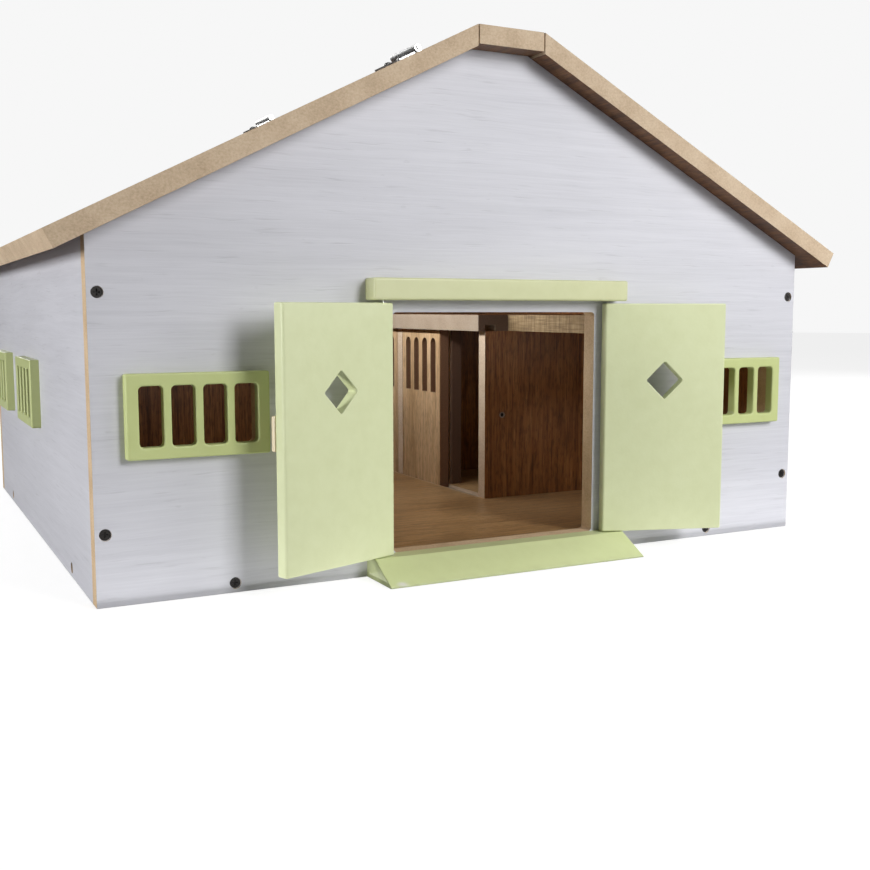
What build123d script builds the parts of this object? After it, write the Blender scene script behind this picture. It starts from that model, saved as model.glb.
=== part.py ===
from build123d import *
import math
import os

# Toy barn (horse stable) for 1:24 play animals.  Millimetres, +Z up.
# Origin: centre of the footprint, on the surface the barn stands on.
# -Y is the gable front with the double door, +X is the right-hand side seen from the front.

os.makedirs("parts", exist_ok=True)

# ---------------------------------------------------------------- driving dimensions
W, D = 400.0, 370.0            # footprint of the walls
T = 9.0                        # wall, floor, top board and roof board thickness
TP = 8.0                       # inner partition thickness
EAVES = 160.0                  # top of the side walls
PITCH = 27.0                   # roof pitch, degrees
OPEN_W, OPEN_Z0, OPEN_Z1 = 117.2, 10.3, 127.4   # doorway in the front wall
FLOOR_Z = T

# door leaves
PIV_X, PIV_Y = 64.7, 4.3       # pivot: distance from the centre line, distance in front of the wall
LEAF_E = 2.9                   # leaf beyond the pivot, towards the hinge edge
LEAF_GAP = 1.2                 # gap between the closed leaves
LEAF_W = PIV_X + LEAF_E - LEAF_GAP / 2
LEAF_T = 6.5
LEAF_Z0, LEAF_Z1 = 10.7, 131.9
LEAF_R = 1.3                   # rounding of the upright edges
LEFT_OPEN, RIGHT_OPEN = 160.3, 161.6            # stored open angles, degrees
DIA_HALF, DIA_Z = 9.75, 91.4   # diamond cut-out: half diagonal, centre height
PIN_R, PIN_CLEAR = 1.0, 0.05
HANDLE = (9.0, 2.5, 15.9)      # width along the leaf, stand-off, height
HANDLE_Z0 = 66.5

# lintel and ramp
LINTEL_X, LINTEL_Y, LINTEL_Z0, LINTEL_Z1 = 72.6, 10.4, 133.1, 143.6
RAMP_X, RAMP_LEDGE, RAMP_Y, RAMP_Z, RAMP_TOE = 72.8, 9.6, 27.7, 10.4, 0.8

# window grille, a strip with four uprights-and-slots
SLOT_W, SLOT_PITCH, SLOT_R, N_SLOT = 10.7, 14.1, 2.0, 4
GR_END = 5.5
GR_W = (N_SLOT - 1) * SLOT_PITCH + SLOT_W + 2 * GR_END
GR_Z0, GR_Z1, GR_S0, GR_S1 = 64.1, 101.4, 69.4, 96.0
GR_T = 5.0
WIN_X = 154.1                  # front window centre from the centre line
WIN_MARGIN = 1.2               # wall hole beyond the slots
SIDE_WIN = (0.0, 120.0)        # side window centres, one for each stall behind the front bay

# interior
TOP_Z0, TOP_Z1 = 115.3, 125.5  # top boards
TOP_X = 56.6                   # edge of the top boards at the corridor
BAY_X = 78.3                   # edge of the right top board over the storage bay
P1_Y0, P1_Y1 = -64.0, -56.0    # front partitions; the right one closes the storage bay
P2_Y0, P2_Y1 = 56.7, 64.7      # rear partitions
P1_X = 61.6                    # end of the partitions at the corridor
FIX_X0, FIX_X1 = 70.3, 78.3    # fixed stall panels
GRV_X0, GRV_X1, GRV_FLOOR, GRV_TOP = 61.3, 68.9, 2.0, 3.9
SD_T, SD_W, SD_Z0, SD_Z1 = 6.8, 58.6, 7.4, 118.9
SD_X = 61.7                    # corridor face of the sliding doors
SD_SLOT_W, SD_PITCH, SD_S0, SD_S1 = 7.5, 13.0, 72.2, 109.5
SD_OFF = 0.5                   # slots sit this far behind the middle of a door
R1_Y, R2_Y = -2.1, 65.0        # near ends of the right sliding doors as stored: front one open, rear one shut

# roof
RIDGE_FLAT = 16.0              # half width of the flat cut on the gable tips
RIDGE_W = 36.0
ROOF_X_IN, ROOF_X_OUT = 18.7, 214.0
ROOF_GAP = 0.2
OVER_Y = 12.0
HG_Y = (-118.0, 118.0)         # roof hinges along the ridge
HG_L, HG_LEAF, HG_T, HG_R, HG_PIN = 30.0, 14.0, 1.0, 2.0, 1.0
HG_UP = 2.1                    # hinge axis above the board faces

YF, YB = -D / 2, D / 2
XL, XR = -W / 2, W / 2
TAN, COS, SIN = (f(math.radians(PITCH)) for f in (math.tan, math.cos, math.sin))


# ---------------------------------------------------------------- helpers
def blk(x0, x1, y0, y1, z0, z1):
    return Pos((x0 + x1) / 2, (y0 + y1) / 2, (z0 + z1) / 2) * Box(x1 - x0, y1 - y0, z1 - z0)


def y_slab(face, y_back, t):
    """Extrudes a face drawn as (X, Z) from y_back towards -Y by t."""
    return extrude(Plane.XZ.offset(-y_back) * face, amount=t)


def x_slab(face, x_left, t):
    """Extrudes a face drawn as (Y, Z) from x_left towards +X by t."""
    return extrude(Plane.YZ.offset(x_left) * face, amount=t)


def rr(cx, cy, w, h, r):
    return Pos(cx, cy) * RectangleRounded(w, h, r)


def arch(cx, z0, z1, w):
    """Slot with a half-round top and nearly square foot."""
    r = w / 2
    body = Pos(cx, (z0 + z1 - r) / 2) * Rectangle(w, z1 - r - z0)
    return body + Pos(cx, z1 - r) * Circle(r)


def one(part):
    """The single solid of a boolean result."""
    s = part.solids()
    assert len(s) == 1, len(s)
    return s[0]


# Screws point along -Z from a head whose rim is at Z=0.
def flat_screw(head_r=2.5, head_t=1.5, r=1.4, length=16.0):
    s = Pos(0, 0, -head_t / 2) * Cone(r, head_r, head_t)
    s += Pos(0, 0, -(head_t + length - 2) / 2 - 0.0) * Cylinder(r, length - 2 - head_t)
    s += Pos(0, 0, -(length - 1)) * Cone(0.2, r, 2)
    solid = s
    rec = Box(0.62, 2.9, 1.6) + Box(2.9, 0.62, 1.6)
    return one(solid), one(solid - rec)


def pan_screw(head_r=2.3, dome=1.0, r=1.1, length=8.0):
    big = (head_r ** 2 + dome ** 2) / (2 * dome)
    cap = (Pos(0, 0, dome - big) * Sphere(big)) & (Pos(0, 0, dome) * Cylinder(head_r, 2 * dome))
    s = cap + Pos(0, 0, -length / 2 + 0.05) * Cylinder(r, length + 0.1)
    rec = Pos(0, 0, dome) * (Box(0.5, 2.4, 1.2) + Box(2.4, 0.5, 1.2))
    return one(s), one(s - rec)


FLAT_BODY, FLAT = flat_screw()
PAN_BODY, PAN = pan_screw()
SINK = 0.7                      # flat heads sit this far below the face


def place(loc, solid):
    return (loc * solid).solids()[0]


def face_loc(x, y, z, normal):
    """Location whose +Z is the outward normal of the face a screw is driven into."""
    return Location(Plane(origin=(x, y, z), x_dir=(0, 0, 1) if abs(normal[2]) < 0.5 else (1, 0, 0), z_dir=normal))


def drive_flat(spots):
    """Countersunk screws: returns the screws and the voids that the boards need."""
    screws, voids = [], []
    for x, y, z, n in spots:
        loc = face_loc(x, y, z, n)
        screws.append(place(loc * Pos(0, 0, -SINK), FLAT))
        voids.append(place(loc * Pos(0, 0, -SINK), FLAT_BODY))
        voids.append(place(loc * Pos(0, 0, -SINK / 2), Cylinder(2.7, SINK).solid()))
    return screws, voids


def cut_all(part, voids):
    box = part.bounding_box()
    for v in voids:
        b = v.bounding_box()
        if (b.min.X < box.max.X and b.max.X > box.min.X and b.min.Y < box.max.Y
                and b.max.Y > box.min.Y and b.min.Z < box.max.Z and b.max.Z > box.min.Z):
            part = part - v
    return part


NODES = {}


def keep(name, *solids):
    NODES[name] = list(solids)


# ---------------------------------------------------------------- fasteners of the shell
n_front, n_back, n_left, n_right, n_up = (0, -1, 0), (0, 1, 0), (-1, 0, 0), (1, 0, 0), (0, 0, 1)
wall_spots = []
for sx in (-1, 1):
    wall_spots.append((sx * 138.4, YF, 4.4, n_front))
    wall_spots.append((sx * 138.4, YB, 4.4, n_back))
    for z in (32.0, 136.0):
        wall_spots.append((sx * 195.5, YF, z, n_front))
        wall_spots.append((sx * 195.5, YB, z, n_back))
    for y in (-120.0, 120.0):
        wall_spots.append((sx * 200.0, y, 4.5, (sx, 0, 0)))
wall_screws, wall_voids = drive_flat(wall_spots)
keep("wall_screws", *wall_screws)

fix_mid = (FIX_X0 + FIX_X1) / 2
top_spots = [(130.0, (P1_Y0 + P1_Y1) / 2, TOP_Z1, n_up), (130.0, (P2_Y0 + P2_Y1) / 2, TOP_Z1, n_up),
             (fix_mid, 28.0, TOP_Z1, n_up), (fix_mid, 148.0, TOP_Z1, n_up)]
top_spots += [(-x, y, z, n) for x, y, z, n in top_spots] + [(-fix_mid, -92.0, TOP_Z1, n_up)]
top_screws, top_voids = drive_flat(top_spots)
keep("top_board_screws", *top_screws)

RIDGE_Z = EAVES + (W / 2 - RIDGE_FLAT) * TAN
ridge_spots = [(0.0, YF + T / 2, RIDGE_Z + T, n_up), (0.0, YB - T / 2, RIDGE_Z + T, n_up)]
ridge_screws, ridge_voids = drive_flat(ridge_spots)
keep("ridge_screws", *ridge_screws)

# small screw that holds the door post to the storage partition
post_loc = face_loc(74.3, P1_Y0, 62.1, n_front)
post_body, post_cut = flat_screw(head_r=1.9, head_t=0.9, r=0.9, length=12.0)
post_screw = place(post_loc * Pos(0, 0, -0.2), post_body)
post_voids = [post_screw, place(post_loc * Pos(0, 0, -0.1), Cylinder(2.0, 0.2).solid())]
slot = place(post_loc * Pos(0, 0, -1.0), extrude(RegularPolygon(1.05, 6), amount=1.0).solid())
keep("partition_screw", one(post_screw - slot))

# ---------------------------------------------------------------- shell
gable = Polygon((-W / 2, 0), (W / 2, 0), (W / 2, EAVES), (RIDGE_FLAT, RIDGE_Z), (-RIDGE_FLAT, RIDGE_Z),
                (-W / 2, EAVES), align=None)
win_w = (N_SLOT - 1) * SLOT_PITCH + SLOT_W + 2 * WIN_MARGIN
win_h = GR_S1 - GR_S0 + 2 * WIN_MARGIN
win_z = (GR_S0 + GR_S1) / 2

front = gable - rr(0, (OPEN_Z0 + OPEN_Z1) / 2, OPEN_W, OPEN_Z1 - OPEN_Z0, 2.0)
for sx in (-1, 1):
    front -= rr(sx * WIN_X, win_z, win_w, win_h, 2.5)
front = y_slab(front, YF + T, T)
front = cut_all(front, wall_voids + ridge_voids)
keep("front_wall", one(front))

back = cut_all(y_slab(gable, YB, T), wall_voids + ridge_voids)
keep("back_wall", one(back))

side = Pos(0, EAVES / 2) * Rectangle(D - 2 * T, EAVES)
for name, x0 in (("left_wall", XL), ("right_wall", XR - T)):
    f = side
    for cy in SIDE_WIN:
        f -= rr(cy, win_z, win_w, win_h, 2.5)
    keep(name, one(cut_all(x_slab(f, x0, T), wall_voids)))

floor = blk(XL + T, XR - T, YF + T, YB - T, 0, T)
floor -= blk(GRV_X0, GRV_X1, P1_Y1, YB - T, T - GRV_FLOOR, T)
floor -= blk(-GRV_X1, -GRV_X0, YF + T, YB - T, T - GRV_FLOOR, T)
keep("floor_board", one(cut_all(floor, wall_voids)))

# ---------------------------------------------------------------- top boards over the boxes
right_top = blk(TOP_X, XR - T, P1_Y0, YB - T, TOP_Z0, TOP_Z1) + blk(BAY_X, XR - T, YF + T, P1_Y0, TOP_Z0, TOP_Z1)
right_top -= blk(GRV_X0, GRV_X1, P1_Y0, YB - T, TOP_Z0, TOP_Z0 + GRV_TOP)
keep("right_top_board", one(cut_all(right_top, top_voids)))
left_top = blk(XL + T, -TOP_X, YF + T, YB - T, TOP_Z0, TOP_Z1)
left_top -= blk(-GRV_X1, -GRV_X0, YF + T, YB - T, TOP_Z0, TOP_Z0 + GRV_TOP)
keep("left_top_board", one(cut_all(left_top, top_voids)))

# ---------------------------------------------------------------- partitions and fixed stall panels
p1 = blk(P1_X, XR - T, P1_Y0, P1_Y1, T, TOP_Z0)
keep("storage_partition", one(cut_all(p1, top_voids + post_voids)))
keep("stall_door_post", one(blk(FIX_X0, FIX_X1, P1_Y1, P1_Y1 + 6.0, T, TOP_Z0) - post_screw))
keep("right_stall_partition", one(cut_all(blk(P1_X, XR - T, P2_Y0, P2_Y1, T, TOP_Z0), top_voids)))
keep("left_front_stall_partition", one(cut_all(blk(XL + T, -P1_X, P1_Y0, P1_Y1, T, TOP_Z0), top_voids)))
keep("left_rear_stall_partition", one(cut_all(blk(XL + T, -P1_X, P2_Y0, P2_Y1, T, TOP_Z0), top_voids)))


def slotted(y0, y1, centre, count, z0, z1, x0, t):
    f = Pos((y0 + y1) / 2, (z0 + z1) / 2) * Rectangle(y1 - y0, z1 - z0)
    for i in range(count):
        f -= arch(centre + (i - (count - 1) / 2) * SD_PITCH, SD_S0, SD_S1, SD_SLOT_W)
    return x_slab(f, x0, t)


END = -2.0                      # near end of the middle fixed panels
FIX_W = P2_Y0 - END
SLOTS = R1_Y + SD_W / 2 + SD_OFF - P2_Y0        # slot middle from a panel's far end
fixed = {
    "right_front_stall_panel": (P2_Y0, FIX_X0),
    "right_rear_stall_panel": (YB - T, FIX_X0),
    "left_front_stall_panel": (P1_Y0, -FIX_X1),
    "left_middle_stall_panel": (P2_Y0, -FIX_X1),
    "left_rear_stall_panel": (YB - T, -FIX_X1),
}
for name, (y1, x0) in fixed.items():
    y0 = y1 - FIX_W
    panel = slotted(y0, y1, y1 + SLOTS, 4, T, TOP_Z0, x0, TP)
    face_x = FIX_X0 if x0 > 0 else -FIX_X0
    panel = chamfer(panel.edges().filter_by(Axis.Z).filter_by(
        lambda e: abs(e.center().X - face_x) < 0.01 and abs(e.center().Y - y0) < 0.01), 1.0)
    keep(name, one(cut_all(panel, top_voids)))

# ---------------------------------------------------------------- sliding stall doors
doors = {
    "right_front_stall_door": (R1_Y, SD_X),
    "right_rear_stall_door": (R2_Y, SD_X),
    "left_front_stall_door": (YF + T + 0.3, -SD_X - SD_T),
    "left_middle_stall_door": (P1_Y1 + 0.3, -SD_X - SD_T),
    "left_rear_stall_door": (R2_Y, -SD_X - SD_T),
}
for name, (y0, x0) in doors.items():
    leaf = slotted(y0, y0 + SD_W, y0 + SD_W / 2 + SD_OFF, 4, SD_Z0, SD_Z1, x0, SD_T)
    leaf = chamfer(leaf.edges().filter_by(Axis.Z).filter_by(
        lambda e: abs(e.center().Y - y0) < 0.01 or abs(e.center().Y - y0 - SD_W) < 0.01), 0.3)
    keep(name, one(leaf))

# ---------------------------------------------------------------- window grilles
grille_face = Pos(0, (GR_Z0 + GR_Z1) / 2) * RectangleRounded(GR_W, GR_Z1 - GR_Z0, 1.0)
for i in range(N_SLOT):
    grille_face -= rr((i - (N_SLOT - 1) / 2) * SLOT_PITCH, win_z, SLOT_W, GR_S1 - GR_S0, SLOT_R)


def grille(loc):
    g = y_slab(grille_face, 0, GR_T)
    g = fillet(g.faces().sort_by(Axis.Y)[0].edges(), 0.8)
    return place(loc, one(g))


keep("front_left_window_grille", grille(Pos(-WIN_X, YF, 0)))
keep("front_right_window_grille", grille(Pos(WIN_X, YF, 0)))
for cy, end in zip(SIDE_WIN, ("front", "rear")):
    keep(f"left_wall_{end}_grille", grille(Pos(XL, cy, 0) * Rot(0, 0, -90)))
    keep(f"right_wall_{end}_grille", grille(Pos(XR, cy, 0) * Rot(0, 0, 90)))

# ---------------------------------------------------------------- lintel and ramp, which carry the door pins
lintel = blk(-LINTEL_X, LINTEL_X, YF - LINTEL_Y, YF, LINTEL_Z0, LINTEL_Z1)
lintel = fillet(lintel.edges().filter_by(lambda e: e.center().Y < YF - 0.1), 1.1)
for sx in (-1, 1):
    lintel -= Pos(sx * PIV_X, YF - PIV_Y, LINTEL_Z0 + 2.5) * Cylinder(PIN_R + PIN_CLEAR, 5.0)
keep("lintel", one(lintel))

profile = Polygon((0, 0), (0, RAMP_Z), (-RAMP_LEDGE, RAMP_Z), (-RAMP_Y, RAMP_TOE), (-RAMP_Y, 0), align=None)
ramp = Pos(0, YF, 0) * x_slab(profile, -RAMP_X, 2 * RAMP_X)
ramp = fillet(ramp.edges().filter_by(
    lambda e: e.center().Y < YF - 0.1 and e.center().Z > 0.05 and e.center().Z > RAMP_TOE + 0.1), 0.8)
for sx in (-1, 1):
    ramp -= Pos(sx * PIV_X, YF - PIV_Y, RAMP_Z - 2.5) * Cylinder(PIN_R + PIN_CLEAR, 5.0)
keep("ramp", one(ramp))

# ---------------------------------------------------------------- door leaves
# Drawn closed with the pivot at the origin and the free edge towards +X, then mirrored and swung open.
leaf = Pos(LEAF_W / 2 - LEAF_E, 0, (LEAF_Z0 + LEAF_Z1) / 2) * Box(LEAF_W, LEAF_T, LEAF_Z1 - LEAF_Z0)
leaf = fillet(leaf.edges().filter_by(Axis.Z), LEAF_R)
leaf = fillet(leaf.faces().sort_by(Axis.Z)[-1].edges(), 0.7)
leaf = fillet(leaf.faces().sort_by(Axis.Z)[0].edges(), 0.7)
dia_side = DIA_HALF * math.sqrt(2)
diamond = Pos(LEAF_W / 2 - LEAF_E, DIA_Z) * Rot(0, 0, 45) * RectangleRounded(dia_side + 0.55, dia_side + 0.55, 1.1)
cut = y_slab(diamond, LEAF_T, 2 * LEAF_T)
leaf -= cut
rim = leaf.edges().filter_by(lambda e: (abs(e.center().X - (LEAF_W / 2 - LEAF_E)) < DIA_HALF
                                        and abs(e.center().Z - DIA_Z) < DIA_HALF + 0.3
                                        and abs(abs(e.center().Y) - LEAF_T / 2) < 1e-3))
leaf = fillet(rim, 0.4)
pin_top0, pin_top1 = LEAF_Z1 - 8.0, LINTEL_Z0 + 4.6
pin_bot0, pin_bot1 = RAMP_Z - 4.6, LEAF_Z0 + 8.0
pins = []
for z0, z1 in ((pin_top0, pin_top1), (pin_bot0, pin_bot1)):
    p = Pos(0, 0, (z0 + z1) / 2) * Cylinder(PIN_R, z1 - z0)
    leaf -= p
    pins.append(one(chamfer(p.edges(), 0.2)))
leaf = one(leaf)
hw, ht, hh = HANDLE
handle = Pos(LEAF_W - LEAF_E - hw / 2, -LEAF_T / 2 - ht / 2, HANDLE_Z0 + hh / 2) * Box(hw, ht, hh)
handle = fillet(handle.edges().filter_by(Axis.Y), 0.8)
handle = one(fillet(handle.faces().sort_by(Axis.Y)[0].edges(), 0.5))

left_loc = Pos(-PIV_X, YF - PIV_Y, 0) * Rot(0, 0, -LEFT_OPEN)
right_loc = Pos(PIV_X, YF - PIV_Y, 0) * Rot(0, 0, RIGHT_OPEN)


def flip(s):
    return mirror(s, about=Plane.YZ).solids()[0]


keep("left_door_panel", place(left_loc, leaf))
keep("left_door_handle", place(left_loc, handle))
keep("left_door_pins", *[place(left_loc, p) for p in pins])
keep("right_door_panel", place(right_loc, flip(leaf)))
keep("right_door_handle", place(right_loc, flip(handle)))
keep("right_door_pins", *[place(right_loc, flip(p)) for p in pins])

# ---------------------------------------------------------------- roof: ridge board, two hinged panels
ridge_top = RIDGE_Z + T
ridge = blk(-RIDGE_W / 2, RIDGE_W / 2, YF - OVER_Y, YB + OVER_Y, RIDGE_Z, ridge_top)


def under(x):
    return EAVES + (W / 2 - x) * TAN + ROOF_GAP / COS


end_low = (ROOF_X_OUT, under(ROOF_X_OUT))
end_high = (ROOF_X_OUT + T * SIN, under(ROOF_X_OUT) + T * COS)
panel_face = Polygon((ROOF_X_IN, under(ROOF_X_IN)), end_low, end_high,
                     (ROOF_X_IN, under(ROOF_X_IN) + T / COS), align=None)
panel = y_slab(panel_face, YB + OVER_Y, D + 2 * OVER_Y)

# hinge axis: HG_UP above both the ridge face and the panel face
x_meet = ROOF_X_IN + (under(ROOF_X_IN) + T / COS - ridge_top) / TAN
ax = x_meet + HG_UP * (1 - COS) / SIN
az = ridge_top + HG_UP
seg = 8.3                       # length of each outer knuckle


def y_cyl(r, y0, y1):
    return Pos(0, (y0 + y1) / 2, 0) * Rot(90, 0, 0) * Cylinder(r, y1 - y0)


def leaf_plate(outer):
    """Hinge leaf around an axis along Y at the origin; the plate runs towards +X, HG_UP under the axis."""
    h = HG_L / 2
    plate = blk(0, HG_LEAF, -h, h, -HG_UP, -HG_UP + HG_T)
    plate = fillet(plate.edges().filter_by(Axis.Z).filter_by(lambda e: e.center().X > 1), 1.5)
    if outer:
        plate -= blk(-1, HG_R + 0.5, -h + seg - 0.0, h - seg, -3, 3)
        rings = y_cyl(HG_R, -h, -h + seg) + y_cyl(HG_R, h - seg, h)
        bore = y_cyl(HG_PIN, -h - 1, h + 1)
    else:
        plate -= blk(-1, HG_R + 0.5, -h - 1, -h + seg + 0.3, -3, 3)
        plate -= blk(-1, HG_R + 0.5, h - seg - 0.3, h + 1, -3, 3)
        rings = y_cyl(HG_R, -h + seg + 0.3, h - seg - 0.3)
        bore = y_cyl(HG_PIN + PIN_CLEAR, -h - 1, h + 1)
    plate = plate + rings
    for dy in (-9.0, 9.0):
        plate -= Pos(8.2, dy, -HG_UP) * Cylinder(1.1, 4)
    return one(plate - bore)


fixed_leaf = (Rot(0, 0, 180) * leaf_plate(True)).solids()[0]
moving_leaf = (Rot(0, PITCH, 0) * leaf_plate(False)).solids()[0]
hinge_pin = one(chamfer(y_cyl(HG_PIN, -HG_L / 2 - 0.6, HG_L / 2 + 0.6).edges(), 0.25))
fixed_leaves, moving_leaves, hinge_pins, fixed_heads, moving_heads, panel_voids, ridge_pilot = [], [], [], [], [], [], []
for hy in HG_Y:
    base = Pos(ax, hy, az)
    fixed_leaves.append(place(base, fixed_leaf))
    moving_leaves.append(place(base, moving_leaf))
    hinge_pins.append(place(base, hinge_pin))
    for dy in (-9.0, 9.0):
        a = base * Pos(-8.2, dy, -HG_UP + HG_T)
        fixed_heads.append(place(a, PAN))
        ridge_pilot.append(place(a, PAN_BODY))
        b = base * Rot(0, PITCH, 0) * Pos(8.2, dy, -HG_UP + HG_T)
        moving_heads.append(place(b, PAN))
        panel_voids.append(place(b, PAN_BODY))

right_panel = one(cut_all(panel, panel_voids))
keep("right_roof_panel", right_panel)
keep("left_roof_panel", flip(right_panel))
keep("ridge_board", one(cut_all(ridge, ridge_pilot + [flip(v) for v in ridge_pilot] + ridge_voids)))
keep("right_hinge_fixed_leaves", *fixed_leaves)
keep("left_hinge_fixed_leaves", *[flip(s) for s in fixed_leaves])
keep("right_hinge_moving_leaves", *moving_leaves)
keep("left_hinge_moving_leaves", *[flip(s) for s in moving_leaves])
keep("right_hinge_pins", *hinge_pins)
keep("left_hinge_pins", *[flip(s) for s in hinge_pins])
keep("ridge_hinge_screws", *fixed_heads, *[flip(s) for s in fixed_heads])
keep("right_roof_hinge_screws", *moving_heads)
keep("left_roof_hinge_screws", *[flip(s) for s in moving_heads])

# ---------------------------------------------------------------- write
for name, solids in NODES.items():
    shape = solids[0] if len(solids) == 1 else Compound(children=solids)
    shape.label = name
    export_step(shape, f"parts/{name}.step")
print(len(NODES), "nodes; hinge axis", round(ax, 3), round(az, 3), "ridge top", round(ridge_top, 3))
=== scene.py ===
import bpy
import math
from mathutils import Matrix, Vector

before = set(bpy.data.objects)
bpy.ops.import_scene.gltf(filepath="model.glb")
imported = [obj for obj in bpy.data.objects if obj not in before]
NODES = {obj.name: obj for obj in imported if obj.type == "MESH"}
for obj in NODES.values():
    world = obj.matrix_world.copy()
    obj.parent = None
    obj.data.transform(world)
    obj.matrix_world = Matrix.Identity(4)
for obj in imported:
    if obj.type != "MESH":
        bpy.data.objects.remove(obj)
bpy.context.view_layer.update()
scene = bpy.context.scene


def srgb(r, g, b):
    def f(u):
        u /= 255.0
        return u / 12.92 if u <= 0.04045 else ((u + 0.055) / 1.055) ** 2.4
    return (f(r), f(g), f(b), 1.0)


# ---------------------------------------------------------------- node helper
class Mat:
    """A principled material and short calls to build its node tree. Positions are the row frame, in metres."""

    def __init__(self, name, roughness=0.5, specular=0.5, metallic=0.0, coat=0.0, coat_roughness=0.2, ior=1.5):
        self.m = bpy.data.materials.new(name)
        self.m.use_nodes = True
        self.t = self.m.node_tree
        self.t.nodes.clear()
        out = self.node("ShaderNodeOutputMaterial")
        self.b = self.node("ShaderNodeBsdfPrincipled")
        self.t.links.new(self.b.outputs[0], out.inputs[0])
        self.b.inputs["Roughness"].default_value = roughness
        self.b.inputs["Specular IOR Level"].default_value = specular
        self.b.inputs["Metallic"].default_value = metallic
        self.b.inputs["Coat Weight"].default_value = coat
        self.b.inputs["Coat Roughness"].default_value = coat_roughness
        self.b.inputs["IOR"].default_value = ior
        tc = self.node("ShaderNodeTexCoord")
        self.pos, self.nrm = tc.outputs["Object"], tc.outputs["Normal"]
        self.x, self.y, self.z = self.split(self.pos)
        self.nx, self.ny, self.nz = self.split(self.nrm)

    def node(self, kind):
        return self.t.nodes.new(kind)

    def put(self, socket, value):
        if isinstance(value, bpy.types.NodeSocket):
            self.t.links.new(value, socket)
        else:
            socket.default_value = value

    def split(self, v):
        n = self.node("ShaderNodeSeparateXYZ")
        self.put(n.inputs[0], v)
        return n.outputs[0], n.outputs[1], n.outputs[2]

    def join(self, x, y, z):
        n = self.node("ShaderNodeCombineXYZ")
        for s, v in zip(n.inputs, (x, y, z)):
            self.put(s, v)
        return n.outputs[0]

    def f(self, op, a, b=0.0, c=0.0, clamp=False):
        n = self.node("ShaderNodeMath")
        n.operation = op
        n.use_clamp = clamp
        for s, v in zip(n.inputs, (a, b, c)):
            self.put(s, v)
        return n.outputs[0]

    def scale(self, v, s, shift=(0.0, 0.0, 0.0)):
        n = self.node("ShaderNodeVectorMath")
        n.operation = "MULTIPLY_ADD"
        self.put(n.inputs[0], v)
        n.inputs[1].default_value = s
        n.inputs[2].default_value = shift
        return n.outputs[0]

    def addv(self, a, b):
        n = self.node("ShaderNodeVectorMath")
        n.operation = "ADD"
        self.put(n.inputs[0], a)
        self.put(n.inputs[1], b)
        return n.outputs[0]

    def dot(self, a, b):
        n = self.node("ShaderNodeVectorMath")
        n.operation = "DOT_PRODUCT"
        self.put(n.inputs[0], a)
        self.put(n.inputs[1], b)
        return n.outputs["Value"]

    def noise(self, v, scale=1.0, detail=2.0, rough=0.5, distortion=0.0):
        n = self.node("ShaderNodeTexNoise")
        n.noise_dimensions = "3D"
        self.put(n.inputs["Vector"], v)
        n.inputs["Scale"].default_value = scale
        n.inputs["Detail"].default_value = detail
        n.inputs["Roughness"].default_value = rough
        n.inputs["Distortion"].default_value = distortion
        return n.outputs[0]

    def cells(self, v, scale):
        n = self.node("ShaderNodeTexVoronoi")
        self.put(n.inputs["Vector"], v)
        n.inputs["Scale"].default_value = scale
        return n.outputs["Distance"]

    def mix(self, fac, a, b, mode="MIX"):
        n = self.node("ShaderNodeMix")
        n.data_type = "RGBA"
        n.blend_type = mode
        self.put(n.inputs[0], fac)
        self.put(n.inputs[6], a)
        self.put(n.inputs[7], b)
        return n.outputs[2]

    def mixf(self, fac, a, b):
        n = self.node("ShaderNodeMix")
        n.data_type = "FLOAT"
        self.put(n.inputs[0], fac)
        self.put(n.inputs[2], a)
        self.put(n.inputs[3], b)
        return n.outputs[0]

    def ramp(self, fac, stops, smooth=False):
        n = self.node("ShaderNodeValToRGB")
        cr = n.color_ramp
        cr.interpolation = "EASE" if smooth else "LINEAR"
        while len(cr.elements) < len(stops):
            cr.elements.new(0.5)
        for e, (p, c) in zip(cr.elements, stops):
            e.position = p
            e.color = c
        self.put(n.inputs[0], fac)
        return n.outputs[0]

    def remap(self, v, a, b, c=0.0, d=1.0, smooth=True):
        n = self.node("ShaderNodeMapRange")
        n.interpolation_type = "SMOOTHSTEP" if smooth else "LINEAR"
        self.put(n.inputs["Value"], v)
        n.inputs["From Min"].default_value = a
        n.inputs["From Max"].default_value = b
        n.inputs["To Min"].default_value = c
        n.inputs["To Max"].default_value = d
        return n.outputs[0]

    def grey(self, v, lo, hi):
        """Multiplier colour from a factor: lo at 0, hi at 1."""
        return self.remap(v, 0.0, 1.0, lo, hi, smooth=False)

    def times(self, colour, factor):
        n = self.node("ShaderNodeVectorMath")
        n.operation = "SCALE"
        self.put(n.inputs[0], colour if isinstance(colour, bpy.types.NodeSocket) else colour[:3])
        self.put(n.inputs["Scale"], factor)
        return n.outputs[0]

    def bevel(self, radius=0.0004):
        n = self.node("ShaderNodeBevel")
        n.samples = 4
        n.inputs["Radius"].default_value = radius
        return n.outputs[0]

    def edge(self, radius=0.0008):
        """0 on flat faces, rising to 1 on the object's edges and corners."""
        geo = self.node("ShaderNodeNewGeometry")
        d = self.dot(self.bevel(radius), geo.outputs["True Normal"])
        return self.f("SUBTRACT", 1.0, d, clamp=True)

    def bump(self, height, distance, strength=1.0, normal=None):
        n = self.node("ShaderNodeBump")
        n.inputs["Strength"].default_value = strength
        n.inputs["Distance"].default_value = distance
        self.put(n.inputs["Height"], height)
        if normal is not None:
            self.put(n.inputs["Normal"], normal)
        return n.outputs[0]

    def finish(self, colour, rough=None, normal=None):
        self.put(self.b.inputs["Base Color"], colour)
        if rough is not None:
            self.put(self.b.inputs["Roughness"], rough)
        if normal is not None:
            self.put(self.b.inputs["Normal"], normal)
        return self.m


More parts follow.
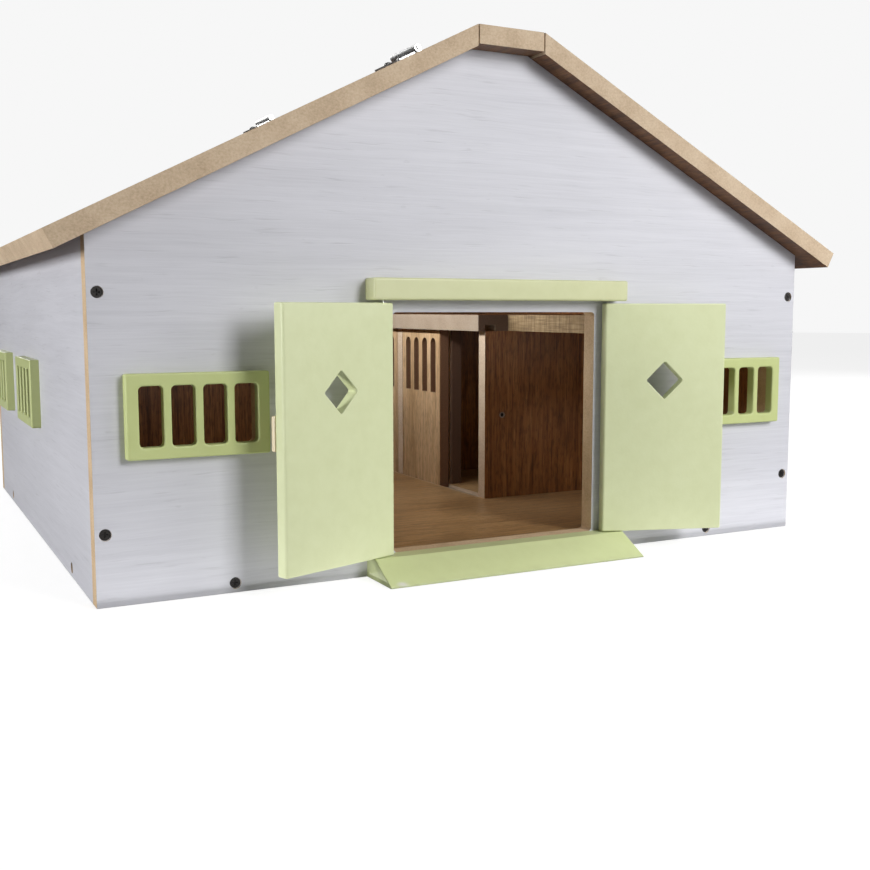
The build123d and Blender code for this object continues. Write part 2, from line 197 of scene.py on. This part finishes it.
# ---------------------------------------------------------------- surface patterns
def grain_vectors(M, along, wander=0.0012):
    """Vectors stretched along the grain: coarse, middle and fine."""
    w = M.noise(M.scale(M.pos, (9, 9, 9)), 1.0, 2.0, 0.5)
    w = M.f("MULTIPLY", M.f("SUBTRACT", w, 0.5), wander * 2)
    p = M.addv(M.pos, M.join(w, w, w))

    def v(a, c, shift=0.0):
        s = [c, c, c]
        s["XYZ".index(along)] = a
        return M.scale(p, tuple(s), (shift, shift, shift))
    return v


def print_grain(M, along, stops, contrast=1.0, rings=0.35, seed=0.0):
    """Wood-grain foil: broad tone, cathedral lines, streaks and pores. Returns (colour, height)."""
    v = grain_vectors(M, along)
    broad = M.noise(v(2.2, 16, seed), 1.0, 2.0, 0.55)
    streak = M.noise(v(7, 330, seed + 3), 1.0, 4.0, 0.6)
    fine = M.noise(v(26, 1300, seed + 7), 1.0, 3.0, 0.6)
    field = M.noise(v(3.2, 26, seed + 11), 1.0, 3.0, 0.45, 0.15)
    line = M.f("SINE", M.f("MULTIPLY", field, 95.0))
    line = M.remap(line, 0.15, 1.0)
    tone = M.f("ADD", M.f("MULTIPLY", M.f("SUBTRACT", broad, 0.5), 0.50 * contrast),
               M.f("MULTIPLY", M.f("SUBTRACT", streak, 0.5), 0.62 * contrast))
    tone = M.f("ADD", tone, M.f("MULTIPLY", M.f("SUBTRACT", fine, 0.5), 0.85 * contrast))
    tone = M.f("SUBTRACT", tone, M.f("MULTIPLY", line, rings * 0.22 * contrast))
    tone = M.f("ADD", tone, 0.5, clamp=True)
    colour = M.ramp(tone, stops)
    pores = M.remap(M.noise(v(75, 2600, seed + 17), 1.0, 2.0, 0.5), 0.56, 0.70)
    colour = M.times(colour, M.grey(pores, 1.0, 1.0 - 0.30 * contrast))
    ticks = M.remap(M.noise(v(190, 980, seed + 23), 1.0, 2.0, 0.5), 0.47, 0.63)
    colour = M.times(colour, M.grey(ticks, 1.0 + 0.07 * contrast, 1.0 - 0.24 * contrast))
    return colour, M.f("SUBTRACT", tone, M.f("MULTIPLY", pores, 0.4))


def raw_board(M, tint=1.0, seed=0.0):
    """Cut edge of fibreboard: tan, speckled with fibres, a little furry."""
    blot = M.noise(M.scale(M.pos, (60, 60, 60), (seed, 0, 0)), 1.0, 3.0, 0.55)
    fibre = M.noise(M.scale(M.pos, (900, 900, 1100), (seed, 2, 5)), 1.0, 4.0, 0.65)
    speck = M.cells(M.scale(M.pos, (1300, 1300, 1300), (seed, 9, 4)), 1.0)
    tone = M.f("ADD", M.f("MULTIPLY", blot, 0.45), M.f("MULTIPLY", fibre, 0.55))
    colour = M.ramp(tone, [(0.25, srgb(170, 146, 118)), (0.5, srgb(202, 179, 151)), (0.75, srgb(222, 203, 177))])
    colour = M.times(colour, M.grey(M.remap(speck, 0.0, 0.28), 0.80, 1.0))
    if tint != 1.0:
        colour = M.times(colour, tint)
    return colour, M.f("ADD", fibre, M.f("MULTIPLY", speck, 0.5))


WALNUT = [(0.12, srgb(84, 47, 21)), (0.42, srgb(132, 84, 43)), (0.62, srgb(152, 101, 54)), (0.9, srgb(182, 132, 80))]
OAK = [(0.12, srgb(119, 88, 54)), (0.40, srgb(181, 148, 107)), (0.62, srgb(207, 175, 135)), (0.9, srgb(230, 204, 167))]
FLOOR = [(0.12, srgb(106, 74, 43)), (0.42, srgb(162, 125, 81)), (0.62, srgb(186, 148, 101)), (0.9, srgb(212, 178, 131))]
ROOF = [(0.12, srgb(66, 42, 27)), (0.42, srgb(104, 70, 46)), (0.62, srgb(128, 90, 60)), (0.9, srgb(156, 116, 82))]


def face_mask(M, vector, limit=0.75):
    """1 where the surface faces along vector, in the row frame at rest."""
    return M.f("GREATER_THAN", M.dot(M.nrm, vector), limit)


def white_wall(name, out):
    """Outer face white-washed wood print, inner face brown print, cut edges raw board."""
    M = Mat(name, roughness=0.5, specular=0.4)
    u = M.f("ADD", M.x, M.y)
    wave = M.f("MULTIPLY", M.f("SUBTRACT", M.noise(M.join(M.f("MULTIPLY", u, 14), 0.0, M.f("MULTIPLY", M.z, 30)), 1.0, 2.0), 0.5), 0.0035)
    v = M.f("ADD", M.z, wave)

    def uv(a, c, s=0.0):
        return M.join(M.f("MULTIPLY", u, a), s, M.f("MULTIPLY", v, c))
    broad = M.noise(uv(4, 26, 1.0), 1.0, 3.0, 0.5)
    streak = M.noise(uv(9, 300, 4.0), 1.0, 4.0, 0.6)
    fine = M.noise(uv(34, 1150, 8.0), 1.0, 3.0, 0.6)
    dash = M.remap(M.noise(uv(38, 620, 12.0), 1.0, 2.0, 0.5), 0.60, 0.74)
    fleck = M.remap(M.noise(uv(150, 420, 21.0), 1.0, 1.0, 0.5), 0.70, 0.80)
    tone = M.f("ADD", M.f("MULTIPLY", broad, 0.35), M.f("MULTIPLY", streak, 0.40))
    tone = M.f("ADD", tone, M.f("MULTIPLY", fine, 0.25))
    white = M.ramp(tone, [(0.22, srgb(184, 184, 192)), (0.42, srgb(204, 204, 211)), (0.56, srgb(213, 213, 220)), (0.8, srgb(224, 224, 230))])
    white = M.times(white, M.grey(dash, 1.0, 0.90))
    white = M.times(white, M.grey(fleck, 1.0, 0.93))
    brown, h_brown = print_grain(M, "Z", WALNUT, seed=2.0)
    raw, h_raw = raw_board(M, seed=1.0)
    raw = M.mix(1.0, raw, (1.06, 1.01, 0.91, 1), "MULTIPLY")
    facing_out = face_mask(M, out)
    facing_in = face_mask(M, tuple(-a for a in out))
    colour = M.mix(facing_out, M.mix(facing_in, raw, brown), white)
    height = M.mixf(facing_out, M.mixf(facing_in, h_raw, h_brown), M.f("ADD", M.f("MULTIPLY", fine, 0.6), M.f("MULTIPLY", dash, -0.5)))
    cut = M.f("SUBTRACT", 1.0, M.f("ADD", facing_out, facing_in, clamp=True))
    rough = M.f("ADD", M.mixf(cut, 0.44, 0.85), M.f("MULTIPLY", M.f("SUBTRACT", streak, 0.5), 0.18))
    return M.finish(colour, rough, M.bump(height, 0.00012, 0.7, M.bevel(0.0004)))


def board(name, thin, along, stops, contrast=1.0, rings=0.35, raw_tint=1.0, seed=0.0, rough=0.42, limit=0.75, ends=None):
    """Fibreboard faced with brown print on its two large faces, which face along thin; cut edges raw."""
    M = Mat(name, roughness=rough, specular=0.45)
    brown, h_brown = print_grain(M, along, stops, contrast, rings, seed)
    raw, h_raw = raw_board(M, raw_tint, seed)
    n = {"X": M.nx, "Y": M.ny, "Z": M.nz}[thin]
    facing = M.f("GREATER_THAN", M.f("ABSOLUTE", n), limit)
    if ends is not None:
        raw = M.times(ends, M.grey(h_raw, 0.7, 1.15))
    colour = M.mix(facing, raw, brown)
    height = M.mixf(facing, h_raw, h_brown)
    r = M.f("ADD", M.mixf(facing, 0.85, rough), M.f("MULTIPLY", M.f("SUBTRACT", h_brown, 0.5), 0.15))
    return M, colour, height, r


def finish_board(M, colour, height, rough, radius=0.0004):
    return M.finish(colour, rough, M.bump(height, 0.00012, 0.7, M.bevel(radius)))


def green_paint(name, base, shade=1.0, seed=0.0, wear=0.5, chip=None, ends=1.0):
    """Satin lacquer on fibreboard: soft mottling, brush and roller texture, paler edges that are partly worn paint and
    partly painted highlight.
    """
    M = Mat(name, roughness=0.38, specular=0.45, coat=0.12, coat_roughness=0.25)
    cloud = M.noise(M.scale(M.pos, (22, 22, 22), (seed, seed, 0)), 1.0, 3.0, 0.55)
    mottle = M.noise(M.scale(M.pos, (140, 140, 140), (seed, 3, 0)), 1.0, 3.0, 0.6)
    peel = M.noise(M.scale(M.pos, (700, 700, 700), (seed, 7, 0)), 1.0, 2.0, 0.5)
    tone = M.f("ADD", M.f("MULTIPLY", cloud, 0.35), M.f("MULTIPLY", mottle, 0.65))
    r, g, b = (c * shade for c in base[:3])
    colour = M.ramp(tone, [(0.30, (r * 0.965, g * 0.965, b * 0.945, 1)), (0.52, (r, g, b, 1)), (0.72, (r * 1.025, g * 1.025, b * 1.045, 1))])
    # paler edges: the noisy rub share is worn paint, the even 0.35 share on every edge is painted highlight
    edge = M.remap(M.edge(0.0009), 0.02, 0.25)
    rub = M.remap(M.noise(M.scale(M.pos, (260, 260, 260), (seed, 1, 9)), 1.0, 3.0, 0.6), 0.42, 0.62)
    pale = (min(1.0, r * 1.16), min(1.0, g * 1.14), min(1.0, b * 1.28), 1)
    colour = M.mix(M.f("MULTIPLY", edge, M.f("MULTIPLY_ADD", rub, 0.5 * wear, 0.35)), colour, pale)
    # ends below 1 darkens the faces along X, with mottled strength: painted shade on the cut ends
    if ends != 1.0:
        painted_end_shade = M.f("MULTIPLY", M.f("GREATER_THAN", M.f("ABSOLUTE", M.nx), 0.75), M.remap(mottle, 0.2, 0.6, 0.8, 1.0))
        colour = M.mix(painted_end_shade, colour, M.times(colour, ends))
    if chip is not None:
        d = M.addv(M.pos, M.join(-chip[0], -chip[1], -chip[2]))
        d = M.scale(d, (1.0, 1.6, 1.6))
        near = M.f("SQRT", M.dot(d, d))
        near = M.f("ADD", near, M.f("MULTIPLY", M.f("SUBTRACT", mottle, 0.5), 0.004))
        colour = M.mix(M.remap(near, 0.0014, 0.0042, 0.85, 0.0), colour, (0.80, 0.80, 0.74, 1))
    rough = M.f("ADD", 0.36, M.f("MULTIPLY", M.f("SUBTRACT", mottle, 0.5), 0.22))
    height = M.f("ADD", M.f("MULTIPLY", peel, 0.7), M.f("MULTIPLY", mottle, 0.8))
    return M.finish(colour, rough, M.bump(height, 0.00010, 0.55, M.bevel(0.0005)))


def steel(name, base, rough, brushed=0.0, seed=0.0, metallic=1.0):
    M = Mat(name, roughness=rough, metallic=metallic, specular=0.5)
    scratch = M.noise(M.scale(M.pos, (2600, 260, 2600), (seed, 0, 0)), 1.0, 3.0, 0.6)
    spot = M.noise(M.scale(M.pos, (420, 420, 420), (seed, 5, 0)), 1.0, 3.0, 0.6)
    r, g, b = base[:3]
    colour = M.ramp(M.f("ADD", M.f("MULTIPLY", scratch, 0.5), M.f("MULTIPLY", spot, 0.5)),
                    [(0.3, (r * 0.72, g * 0.72, b * 0.74, 1)), (0.6, (r, g, b, 1)), (0.8, (r * 1.12, g * 1.12, b * 1.12, 1))])
    rr = M.f("ADD", rough - 0.08, M.f("MULTIPLY", spot, 0.2))
    return M.finish(colour, rr, M.bump(scratch, 0.00004, 0.4 + brushed, M.bevel(0.00015)))


def seat_steel():
    """Dulled screw head; its socket is painted near-black, painted shade in the recess."""
    M = Mat("dulled_steel", roughness=0.5, metallic=0.6, specular=0.4)
    away = M.f("SQRT", M.f("ADD", M.f("POWER", M.f("SUBTRACT", M.x, 0.0743), 2.0), M.f("POWER", M.f("SUBTRACT", M.z, 0.0621), 2.0)))
    spot = M.noise(M.scale(M.pos, (900, 900, 900), (3, 1, 0)), 1.0, 3.0, 0.6)
    rim = M.ramp(spot, [(0.3, (0.24, 0.20, 0.17, 1)), (0.7, (0.42, 0.36, 0.31, 1))])
    # near-black inside the socket radius: painted shade
    colour = M.mix(M.remap(away, 0.00095, 0.00125), (0.006, 0.005, 0.004, 1), rim)
    return M.finish(colour, M.f("ADD", 0.42, M.f("MULTIPLY", spot, 0.2)), M.bump(spot, 0.00005, 0.5, M.bevel(0.00015)))


# ---------------------------------------------------------------- materials
GREEN = (0.690, 0.735, 0.450)

m_front = white_wall("white_print_front", (0, -1, 0))
m_back = white_wall("white_print_back", (0, 1, 0))
m_left = white_wall("white_print_left", (-1, 0, 0))
m_right = white_wall("white_print_right", (1, 0, 0))


def floor_material():
    M, colour, height, rough = board("floor_print", "Z", "X", FLOOR, 0.85, 0.5, seed=5.0, rough=0.36)
    raw, _ = raw_board(M, 0.55, 4.0)
    ax = M.f("ABSOLUTE", M.x)
    low = M.f("LESS_THAN", M.z, 0.0087)
    top = M.f("GREATER_THAN", M.nz, 0.75)
    in_groove = M.f("MULTIPLY", low, top)
    colour = M.mix(in_groove, colour, raw)
    # pale rubbed rim on the corridor side of each groove
    wob = M.f("MULTIPLY", M.f("SUBTRACT", M.noise(M.scale(M.pos, (90, 90, 90)), 1.0, 3.0, 0.6), 0.5), 0.0012)
    d = M.f("ADD", M.f("SUBTRACT", 0.0613, ax), wob)
    rim = M.f("MULTIPLY", M.remap(d, 0.0021, 0.0012), M.f("GREATER_THAN", d, -0.0006))
    behind = M.f("GREATER_THAN", M.y, -0.0565)
    rim = M.f("MULTIPLY", rim, M.f("MAXIMUM", behind, M.f("LESS_THAN", M.x, 0.0)))
    rim = M.f("MULTIPLY", rim, M.f("MULTIPLY", M.f("GREATER_THAN", M.z, 0.0087), 0.75))
    colour = M.mix(rim, colour, srgb(186, 160, 128))
    # soft traffic marks in the corridor
    scuff = M.remap(M.noise(M.scale(M.pos, (30, 160, 1)), 1.0, 4.0, 0.65), 0.55, 0.75)
    colour = M.times(colour, M.grey(scuff, 1.0, 1.12))
    rough = M.f("ADD", rough, M.f("MULTIPLY", scuff, 0.10))
    return finish_board(M, colour, height, rough)


m_floor = floor_material()
m_part = finish_board(*board("partition_print", "Y", "Z", WALNUT, 1.15, 0.5, seed=9.0))
m_panel = finish_board(*board("panel_print", "X", "Z", OAK, 0.8, 0.4, seed=13.0, ends=srgb(92, 66, 48)))
m_door = finish_board(*board("stall_door_print", "X", "Z", OAK, 0.8, 0.45, seed=17.0, ends=srgb(120, 86, 60)))


def top_material():
    M, colour, height, rough = board("top_board_print", "Z", "Y", WALNUT, 0.9, 0.4, raw_tint=0.54, seed=21.0)
    bay = M.f("MULTIPLY", M.f("LESS_THAN", M.nx, -0.75), M.f("GREATER_THAN", M.x, 0.070))
    weave = M.f("MULTIPLY", M.noise(M.scale(M.pos, (60, 700, 60)), 1.0, 3.0, 0.6), M.noise(M.scale(M.pos, (60, 60, 900)), 1.0, 3.0, 0.6))
    warm = M.ramp(weave, [(0.15, srgb(124, 101, 68)), (0.25, srgb(161, 134, 92)), (0.36, srgb(187, 162, 119))])
    colour = M.mix(M.f("MULTIPLY", bay, 0.85), colour, warm)
    # front ends of the top boards (facing -Y, in front of y=0) are painted dark brown: painted shade
    near = M.f("MULTIPLY", M.f("LESS_THAN", M.ny, -0.75), M.f("LESS_THAN", M.y, 0.0))
    painted_front_end_shade = M.times(srgb(104, 84, 70), M.grey(height, 0.75, 1.1))
    colour = M.mix(M.f("MULTIPLY", near, 0.92), colour, painted_front_end_shade)
    return finish_board(M, colour, height, rough)


m_top = top_material()


def roof_material():
    M, colour, height, rough = board("roof_print", "Z", "Y", ROOF, 1.0, 0.5, seed=29.0, rough=0.5, limit=0.6)
    return finish_board(M, colour, height, rough)


m_roof = roof_material()
m_leaf = green_paint("green_doors", GREEN, 1.0, 1.0)
m_lintel = green_paint("green_lintel", (0.650, 0.670, 0.385), 1.0, 4.0)
# ramp: ends=0.50 paints shade on its two cut ends; chip is a worn spot at the toe
m_ramp = green_paint("green_ramp", (0.665, 0.730, 0.385), 1.0, 8.0, wear=1.0, chip=(-0.0665, -0.2118, 0.0016), ends=0.50)
m_grille = green_paint("green_grille", (0.560, 0.620, 0.270), 1.0, 12.0)


def cream_wood():
    M = Mat("cream_wood", roughness=0.5, specular=0.4)
    v = grain_vectors(M, "Z", 0.0004)
    a = M.noise(v(60, 900), 1.0, 3.0, 0.6)
    b = M.noise(v(120, 3200, 5), 1.0, 2.0, 0.6)
    tone = M.f("ADD", M.f("MULTIPLY", a, 0.6), M.f("MULTIPLY", b, 0.4))
    colour = M.ramp(tone, [(0.3, srgb(208, 186, 152)), (0.5, srgb(230, 214, 184)), (0.75, srgb(241, 229, 205))])
    return M.finish(colour, M.grey(a, 0.42, 0.62), M.bump(tone, 0.0001, 0.6, M.bevel(0.0004)))


m_cream = cream_wood()
m_zinc = steel("zinc_steel", (0.56, 0.56, 0.55), 0.34, 0.3, 2.0)
m_seat = seat_steel()
m_dark = steel("blackened_steel", (0.045, 0.042, 0.040), 0.42, 0.0, 6.0, metallic=0.7)

USE = {
    "front_wall": m_front, "back_wall": m_back, "left_wall": m_left, "right_wall": m_right,
    "floor_board": m_floor, "left_top_board": m_top, "right_top_board": m_top,
    "storage_partition": m_part, "right_stall_partition": m_part,
    "left_front_stall_partition": m_part, "left_rear_stall_partition": m_part, "stall_door_post": m_panel,
    "lintel": m_lintel, "ramp": m_ramp, "left_door_panel": m_leaf, "right_door_panel": m_leaf,
    "left_door_handle": m_cream, "right_door_handle": m_cream,
    "left_roof_panel": m_roof, "right_roof_panel": m_roof, "ridge_board": m_roof,
    "wall_screws": m_dark, "top_board_screws": m_dark, "ridge_screws": m_dark, "partition_screw": m_seat,
}
for name, obj in NODES.items():
    if name in USE:
        mat = USE[name]
    elif name.endswith("grille"):
        mat = m_grille
    elif name.endswith("stall_panel"):
        mat = m_panel
    elif name.endswith("stall_door"):
        mat = m_door
    else:
        mat = m_zinc
    for s in obj.material_slots:
        s.material = mat

# ---------------------------------------------------------------- floor
sheet = bpy.data.meshes.new("studio_floor")
rim = [(6.0 * math.cos(i * math.pi / 48), 6.0 * math.sin(i * math.pi / 48), 0.0) for i in range(96)]
sheet.from_pydata(rim, [], [list(range(96))])
ground = bpy.data.objects.new("studio_floor", sheet)
scene.collection.objects.link(ground)
G = Mat("studio_floor_paint", roughness=0.85, specular=0.2)
soft = G.noise(G.scale(G.pos, (3, 3, 3)), 1.0, 3.0, 0.5)
G.finish(G.ramp(soft, [(0.3, (0.26, 0.26, 0.26, 1)), (0.7, (0.28, 0.28, 0.28, 1))]))
# the floor looks pale, but sends only part of that light back onto the walls
G.b.inputs["Emission Color"].default_value = (1.0, 1.0, 1.0, 1.0)
G.put(G.b.inputs["Emission Strength"], G.f("MULTIPLY", G.node("ShaderNodeLightPath").outputs["Is Camera Ray"], 0.82))
ground.data.materials.append(G.m)
ground.location.z = -0.0002

# ---------------------------------------------------------------- light
world = bpy.data.worlds.new("studio")
scene.world = world
world.use_nodes = True
wt = world.node_tree
bg = wt.nodes["Background"]
path = wt.nodes.new("ShaderNodeLightPath")
level = wt.nodes.new("ShaderNodeMix")
level.data_type = "FLOAT"
level.inputs[2].default_value = 0.05
level.inputs[3].default_value = 0.93
wt.links.new(path.outputs["Is Camera Ray"], level.inputs[0])
wt.links.new(level.outputs[0], bg.inputs["Strength"])
bg.inputs["Color"].default_value = (1.0, 1.0, 1.0, 1)


def softbox(name, target, direction, distance, size, level, colour=(1, 1, 1), size_y=None):
    """Area light that gives a white surface facing it the radiance level."""
    d = Vector(direction).normalized()
    light = bpy.data.lights.new(name, "AREA")
    light.shape = "RECTANGLE"
    light.size = size
    light.size_y = size_y or size
    light.energy = math.pi ** 2 * distance ** 2 * level
    light.color = colour
    ob = bpy.data.objects.new(name, light)
    scene.collection.objects.link(ob)
    ob.location = Vector(target) + d * distance
    ob.rotation_euler = (-d).to_track_quat("-Z", "Y").to_euler()
    ob.visible_camera = False
    return ob


def aim(azimuth, elevation):
    """Direction towards a light: azimuth from straight in front of the barn, positive to the right."""
    a, e = math.radians(azimuth), math.radians(elevation)
    return (math.sin(a) * math.cos(e), -math.cos(a) * math.cos(e), math.sin(e))


softbox("key", (-0.13, -0.20, 0.13), aim(27, 28), 1.4, 0.44, 0.41)
softbox("key_low", (-0.13, -0.20, 0.13), aim(28, 14), 1.4, 0.40, 0.24)
softbox("fill_right", (0.15, -0.20, 0.10), aim(40, 18), 0.50, 0.16, 0.31)
softbox("side", (-0.13, -0.2, 0.09), aim(-89, 8), 1.3, 0.20, 0.78, size_y=0.40)
softbox("side_right", (0.2, 0.0, 0.10), aim(106, 20), 1.5, 0.6, 0.34)
softbox("back", (0.0, 0.2, 0.10), aim(180, 24), 1.5, 0.8, 0.50)
top = bpy.data.lights.new("top", "SUN")
top.energy = math.pi * 0.10
top.angle = math.radians(32)
top_ob = bpy.data.objects.new("top", top)
scene.collection.objects.link(top_ob)
top_ob.rotation_euler = (math.radians(3), math.radians(4), 0.0)


def panel_light(name, place, facing, size, size_y, radiance, colour=(1, 1, 1)):
    """Area light of a given radiance at a place, size across and size_y up when it faces sideways."""
    light = bpy.data.lights.new(name, "AREA")
    light.shape = "RECTANGLE"
    light.size, light.size_y = size, size_y
    light.energy = math.pi * size * size_y * radiance
    light.color = colour
    ob = bpy.data.objects.new(name, light)
    scene.collection.objects.link(ob)
    ob.location = place
    ob.rotation_euler = Vector(facing).to_track_quat("-Z", "Y").to_euler()
    ob.visible_camera = False
    return ob


panel_light("bounce", (-0.03, -0.31, 0.004), (0, 0, 1), 0.55, 0.18, 0.17)
panel_light("bounce_near", (0.0, -0.205, 0.002), (0, 0, 1), 0.50, 0.035, 0.85)
panel_light("inner_strip", (-0.025, -0.003, 0.160), (1.0, 0.0, -0.1), 0.19, 0.012, 34.0, (0.98, 1.0, 1.05))
panel_light("inner_left", (-0.118, -0.165, 0.108), (0.0, 0.9, -0.45), 0.10, 0.012, 4.7)
panel_light("inner_right", (0.13, -0.048, 0.108), (-0.2, 0.9, -0.4), 0.08, 0.012, 1.1)
panel_light("inner_front", (0.0, -0.165, 0.090), (0.45, 0.89, 0.05), 0.09, 0.05, 0.72)
panel_light("inner_bay", (0.13, -0.165, 0.108), (-0.1, 1.0, -0.3), 0.08, 0.012, 2.1)

# ---------------------------------------------------------------- camera
cam = bpy.data.cameras.new("camera")
cam.sensor_width = 36.0
cam.lens = 45.48
cam.shift_x = -0.0069
cam.shift_y = -0.0023
cam.clip_start = 0.01
cam_ob = bpy.data.objects.new("camera", cam)
scene.collection.objects.link(cam_ob)
cam_ob.location = (-0.2817, -0.665, 0.1285)
cam_ob.rotation_euler = (math.radians(83.614), 0.0, math.radians(-27.44))
scene.camera = cam_ob
scene.view_settings.view_transform = "Standard"
